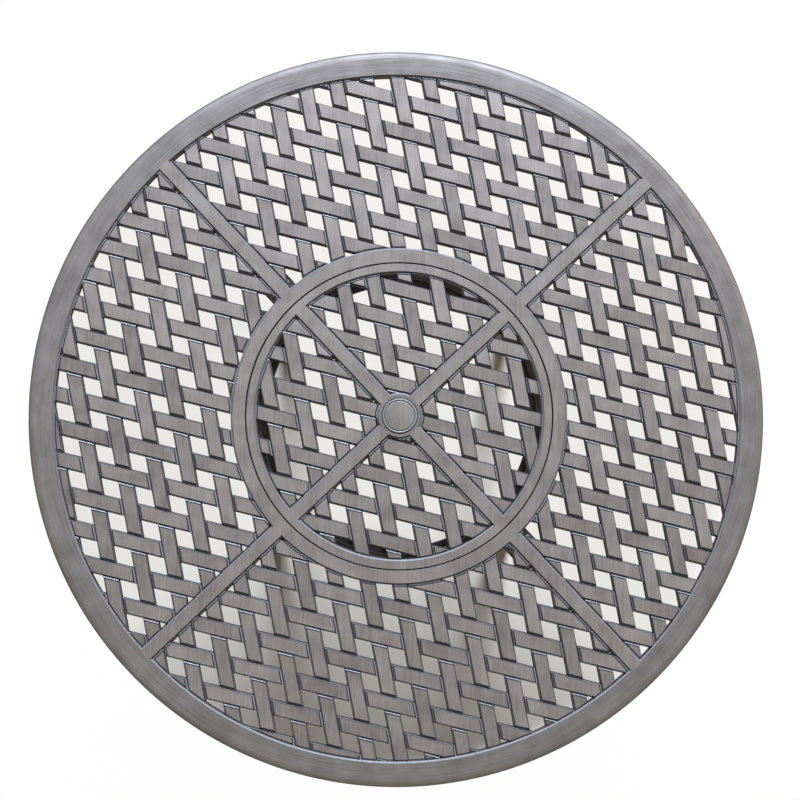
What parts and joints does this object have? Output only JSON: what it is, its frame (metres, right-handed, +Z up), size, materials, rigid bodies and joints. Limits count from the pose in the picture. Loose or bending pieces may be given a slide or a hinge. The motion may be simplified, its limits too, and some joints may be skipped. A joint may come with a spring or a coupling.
{
  "type": "patio umbrella table",
  "caption": "Round cast-aluminium patio dining table with a basket-weave top, an inset turntable, a capped umbrella hole and curved legs.",
  "frame": {"origin": "on the floor, under the middle of the table top", "axes": "+Z up; +X to the right and +Y to the back in the picture, which looks down on the top; the spokes and legs lie on the diagonals"},
  "size_m": [1.372, 1.372, 0.7314],
  "materials": {
    "cast_top": "antique pewter, brushed on the high faces and dark in the recesses",
    "cast_legs": "antique pewter, satin",
    "steel": "bright zinc",
    "nylon": "matt moulded nylon"
  },
  "bodies": {
    "frame": {"rim": "cast_top", "recess_ring": "cast_top", "spoke_back_right": "cast_top", "spoke_back_left": "cast_top", "spoke_front_left": "cast_top", "spoke_front_right": "cast_top", "lattice_right": "cast_top", "lattice_back": "cast_top", "lattice_left": "cast_top", "lattice_front": "cast_top", "leg_back_right": "cast_legs", "leg_back_left": "cast_legs", "leg_front_left": "cast_legs", "leg_front_right": "cast_legs", "leg_bolt_back_right_1": "steel", "leg_bolt_back_right_2": "steel", "leg_bolt_back_left_1": "steel", "leg_bolt_back_left_2": "steel", "leg_bolt_front_left_1": "steel", "leg_bolt_front_left_2": "steel", "leg_bolt_front_right_1": "steel", "leg_bolt_front_right_2": "steel", "foot_glide_back_right": "nylon", "foot_glide_back_left": "nylon", "foot_glide_front_left": "nylon", "foot_glide_front_right": "nylon", "roller_bracket_1": "steel", "roller_bracket_2": "steel", "roller_bracket_3": "steel", "roller_bracket_4": "steel", "roller_bracket_5": "steel", "roller_bracket_6": "steel", "roller_axle_1": "steel", "roller_axle_2": "steel", "roller_axle_3": "steel", "roller_axle_4": "steel", "roller_axle_5": "steel", "roller_axle_6": "steel"},
    "turntable": {"turntable_rim": "cast_top", "turntable_hub": "cast_top", "turntable_spoke_back_right": "cast_top", "turntable_spoke_back_left": "cast_top", "turntable_spoke_front_left": "cast_top", "turntable_spoke_front_right": "cast_top", "turntable_lattice_right": "cast_top", "turntable_lattice_back": "cast_top", "turntable_lattice_left": "cast_top", "turntable_lattice_front": "cast_top", "umbrella_collar": "cast_top"},
    "cap": {"umbrella_cap": "cast_top"},
    "roller_1": {"roller_1": "nylon"},
    "roller_2": {"roller_2": "nylon"},
    "roller_3": {"roller_3": "nylon"},
    "roller_4": {"roller_4": "nylon"},
    "roller_5": {"roller_5": "nylon"},
    "roller_6": {"roller_6": "nylon"}
  },
  "joints": [
    {"name": "turntable_spin", "type": "hinge", "parent": "frame", "child": "turntable", "pos_m": [0, 0, 0.73], "axis": [0, 0, 1], "continuous": true},
    {"name": "cap_lift", "type": "slide", "parent": "turntable", "child": "cap", "axis": [0, 0, 1], "range_m": [0, 0.06]},
    {"name": "roller_1_spin", "type": "hinge", "parent": "frame", "child": "roller_1", "pos_m": [0.27475, 0, 0.7037], "axis": [1, 0, 0], "continuous": true},
    {"name": "roller_2_spin", "type": "hinge", "parent": "frame", "child": "roller_2", "pos_m": [0.13737, 0.23794, 0.7037], "axis": [0.5, 0.866, 0], "continuous": true},
    {"name": "roller_3_spin", "type": "hinge", "parent": "frame", "child": "roller_3", "pos_m": [-0.13737, 0.23794, 0.7037], "axis": [-0.5, 0.866, 0], "continuous": true},
    {"name": "roller_4_spin", "type": "hinge", "parent": "frame", "child": "roller_4", "pos_m": [-0.27475, 0, 0.7037], "axis": [-1, 0, 0], "continuous": true},
    {"name": "roller_5_spin", "type": "hinge", "parent": "frame", "child": "roller_5", "pos_m": [-0.13737, -0.23794, 0.7037], "axis": [-0.5, -0.866, 0], "continuous": true},
    {"name": "roller_6_spin", "type": "hinge", "parent": "frame", "child": "roller_6", "pos_m": [0.13737, -0.23794, 0.7037], "axis": [0.5, -0.866, 0], "continuous": true}
  ],
  "couplings": [
    {"joint": "roller_1_spin", "follows": "turntable_spin", "ratio": -27.475},
    {"joint": "roller_2_spin", "follows": "turntable_spin", "ratio": -27.475},
    {"joint": "roller_3_spin", "follows": "turntable_spin", "ratio": -27.475},
    {"joint": "roller_4_spin", "follows": "turntable_spin", "ratio": -27.475},
    {"joint": "roller_5_spin", "follows": "turntable_spin", "ratio": -27.475},
    {"joint": "roller_6_spin", "follows": "turntable_spin", "ratio": -27.475}
  ]
}
